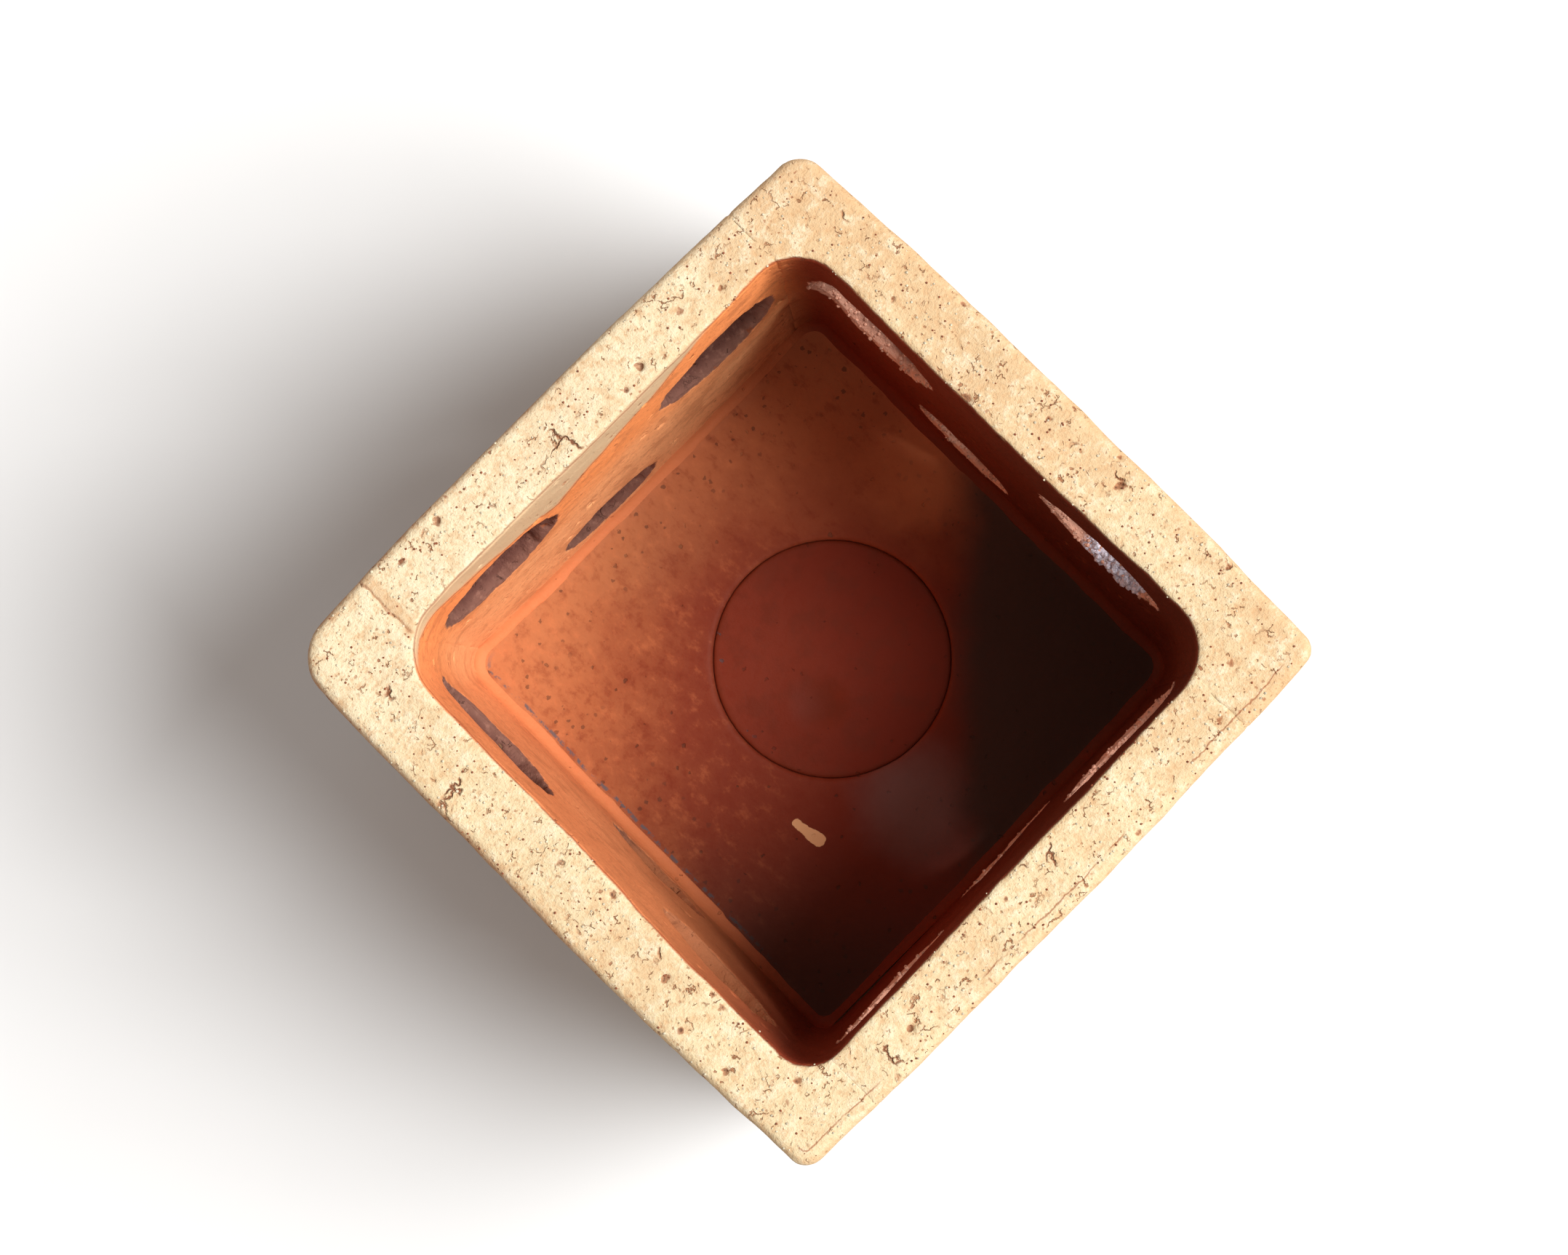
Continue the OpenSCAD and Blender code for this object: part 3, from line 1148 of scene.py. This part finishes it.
class POT_OT_feet(bpy.types.Operator):
    """Builds the four clay feet"""

    bl_idname = "pot.feet"
    bl_label = "Feet"

    CORNER_R = 4.0
    ARRIS = 1.0
    PIT_R = 0.6

    def execute(self, context):
        shape = context.scene.pot_shape
        material = foot_finish(context.scene.pot_colours, shape)
        for corner in CORNERS:
            node = "foot_" + corner
            low, high = box_mm(node)
            middle, half = (low + high) / 2, (high - low) / 2
            tree = ShapeTree(node)
            clay = Clay(tree, shape)
            side_x = abs(clay.x - middle.x) - half.x + clay.slack
            side_y = abs(clay.y - middle.y) - half.y + clay.slack
            body = tree.meet(side_x, side_y, self.CORNER_R)
            body = tree.meet(body, -clay.flat_z, self.ARRIS)
            body = clay.clipped(clay.pitted(body, self.PIT_R), low, high)
            clay.fill(body, low, high, shape.small_voxel, {}, material)
            dress(tree.make(node + "_clay"), "pot", [node])
        return {"FINISHED"}


class POT_OT_drain_disc(bpy.types.Operator):
    """Builds the loose drain disc with its finger dimple"""

    bl_idname = "pot.drain_disc"
    bl_label = "Drain disc"

    DIMPLE_R = 4.5
    DIMPLE_DEPTH = 0.9
    DIMPLE_LIP = 0.6
    GAP = 0.02
    TOP_ARRIS = 0.1
    UNDER_ARRIS = 0.4
    # How far the hand-flattened top dips
    DIPS = 0.35

    def execute(self, context):
        shape, colours = context.scene.pot_shape, context.scene.pot_colours
        tree = ShapeTree("drain_disc")
        clay = Clay(tree, shape)
        side = clay.from_drain() - DISC_R + self.GAP - clay.out_of_round()
        face = clay.flat_z - DISC_HIGH.z + tree.noise(clay.flat, 14.0, 2.0) * self.DIPS
        body = tree.meet(side, face, self.TOP_ARRIS)
        body = tree.meet(body, DISC_LOW.z - clay.flat_z, self.UNDER_ARRIS)
        # The dimple is the foot of a ball pressed into the top
        depth = self.DIMPLE_DEPTH
        ball = (self.DIMPLE_R**2 + depth**2) / (2 * depth)
        dimple = tree.distance(
            clay.flat_x - DISC_MID.x - DIMPLE.x, clay.flat_y - DISC_MID.y - DIMPLE.y,
            clay.flat_z - (DISC_HIGH.z - depth + ball),
        ) - ball
        body = tree.meet(body, -dimple, self.DIMPLE_LIP)
        body = clay.clipped(body, DISC_LOW, DISC_HIGH)
        material = floor_finish(colours, "washed_disc", disc_wash)
        marks = {"from_cavity": clay.cavity}
        clay.fill(body, DISC_LOW, DISC_HIGH, shape.small_voxel, marks, material)
        dress(tree.make("drain_disc_clay"), "drain_disc", ["drain_disc"])
        return {"FINISHED"}


class POT_OT_grains(bpy.types.Operator):
    """Scatters grog on the rim and crumbs round the torn windows"""

    bl_idname = "pot.grains"
    bl_label = "Grains"

    def execute(self, context):
        shape, colours = context.scene.pot_shape, context.scene.pot_colours
        pale = grain_finish("pale_grog", colours.chalk, 0.7)
        dark = grain_finish("dark_grog", colours.rust, 0.8)
        crumb = grain_finish("torn_crumbs", colours.torn_pale, 0.9)
        lime = grain_finish("lime_crust", colours.lime, 0.75)
        for number, wall in enumerate(WALLS):
            surface = bpy.data.objects["wall_clay_" + wall]
            seed = shape.seed + 10 * number
            self.scatter(f"pale_grog_{wall}", surface, pale, 0.16, (0.10, 0.26), seed, "rim")
            self.scatter(f"dark_grog_{wall}", surface, dark, 0.12, (0.08, 0.22), seed + 1, "rim")
            if wall in ("east", "south"):
                self.scatter(f"crumbs_{wall}", surface, crumb, 0.9, (0.14, 0.42), seed + 2, "lit_edge")
        east = bpy.data.objects["wall_clay_east"]
        self.scatter("lime_crust_east", east, lime, 1.8, (0.3, 0.75), shape.seed, "pale_spot")
        return {"FINISHED"}

    def scatter(self, name, surface, material, per_mm2, radii, seed, where):
        """Half-buried grains on a slab's rim, on the lips of its windows or on the lilac-white
        patch.
        """
        tree = ShapeTree(name)
        source = tree.add("GeometryNodeObjectInfo", {"transform_space": "ORIGINAL"}, Object=surface)
        source = source.other("Geometry")
        density = tree.size("Grains per square metre", per_mm2 / MM**2)
        place = tree.vectors("SCALE", tree.add("GeometryNodeInputPosition"), 1.0 / MM)
        y, z = tree.parts(place)[1:]
        cavity, window, outside = (
            tree.add("GeometryNodeInputNamedAttribute", {"data_type": "FLOAT"}, Name=mark)
            for mark in ("from_cavity", "from_window", "from_outside")
        )
        density = density * outside.ramp(-0.3, -0.7)
        if where == "rim":
            density = density * (RIM_Z - z).ramp(1.8, 1.0) * cavity.ramp(0.0, 0.6)
            density = density * (RIM_Z - z).ramp(radii[1], radii[1] + 0.04)
        elif where == "lit_edge":
            density = density * window.ramp(0.6, 0.2) * cavity.ramp(3.2, 1.0)
        else:
            away = from_sill_patch(tree, y, z)
            density = density * away.ramp(7.0, 4.5) * window.ramp(0.9, 0.4)
            density = density * cavity.ramp(5.0, 3.0)
        faces = tree.add(
            "GeometryNodeDistributePointsOnFaces", {"distribute_method": "RANDOM"},
            Mesh=source, Density=density, Seed=seed,
        )
        grain = tree.add("GeometryNodeMeshIcoSphere", None, MM, 1)
        small = tree.size("Smallest radius", radii[0])
        large = tree.size("Largest radius", radii[1])
        number = {"data_type": "FLOAT"}
        scale = tree.add("FunctionNodeRandomValue", number, small, large, Seed=seed)
        turn = tree.add(
            "FunctionNodeRandomValue", {"data_type": "FLOAT_VECTOR"},
            (0.0, 0.0, 0.0), (math.tau, math.tau, math.tau), Seed=seed + 5,
        )
        turn = tree.add("FunctionNodeEulerToRotation", None, turn)
        grains = tree.add(
            "GeometryNodeInstanceOnPoints", None, Points=faces, Instance=grain,
            Rotation=turn, Scale=scale,
        )
        tree.close(grains, material)
        piece = tree.make(name)
        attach(piece, "pot")


class POT_PT_sidebar(bpy.types.Panel):
    """Lists the pot's sizes, colours and build steps"""

    bl_idname = "POT_PT_sidebar"
    bl_label = "Stoneware Pot"
    bl_space_type = "VIEW_3D"
    bl_region_type = "UI"
    bl_category = "Stoneware Pot"

    def draw(self, context):
        layout = self.layout
        for operator in OPERATORS:
            layout.operator(operator.bl_idname)
        for group in (context.scene.pot_shape, context.scene.pot_colours, context.scene.pot_studio):
            box = layout.box()
            for name in group.__annotations__:
                box.prop(group, name)


GROUPS = {"pot_shape": PotShape, "pot_colours": ClayColours, "pot_studio": StudioSettings}
OPERATORS = (
    POT_OT_camera, POT_OT_studio, POT_OT_wall_slabs, POT_OT_floor_slab, POT_OT_foot_coils,
    POT_OT_feet, POT_OT_drain_disc, POT_OT_grains,
)


def register():
    for cls in (*GROUPS.values(), *OPERATORS, POT_PT_sidebar):
        bpy.utils.register_class(cls)
    for name, group in GROUPS.items():
        setattr(bpy.types.Scene, name, PointerProperty(type=group))


def unregister():
    for name in GROUPS:
        delattr(bpy.types.Scene, name)
    for cls in (POT_PT_sidebar, *OPERATORS, *GROUPS.values()):
        bpy.utils.unregister_class(cls)


def main():
    register()
    for operator in OPERATORS:
        getattr(bpy.ops.pot, operator.bl_idname.split(".")[1])()


if __name__ == "__main__":
    main()
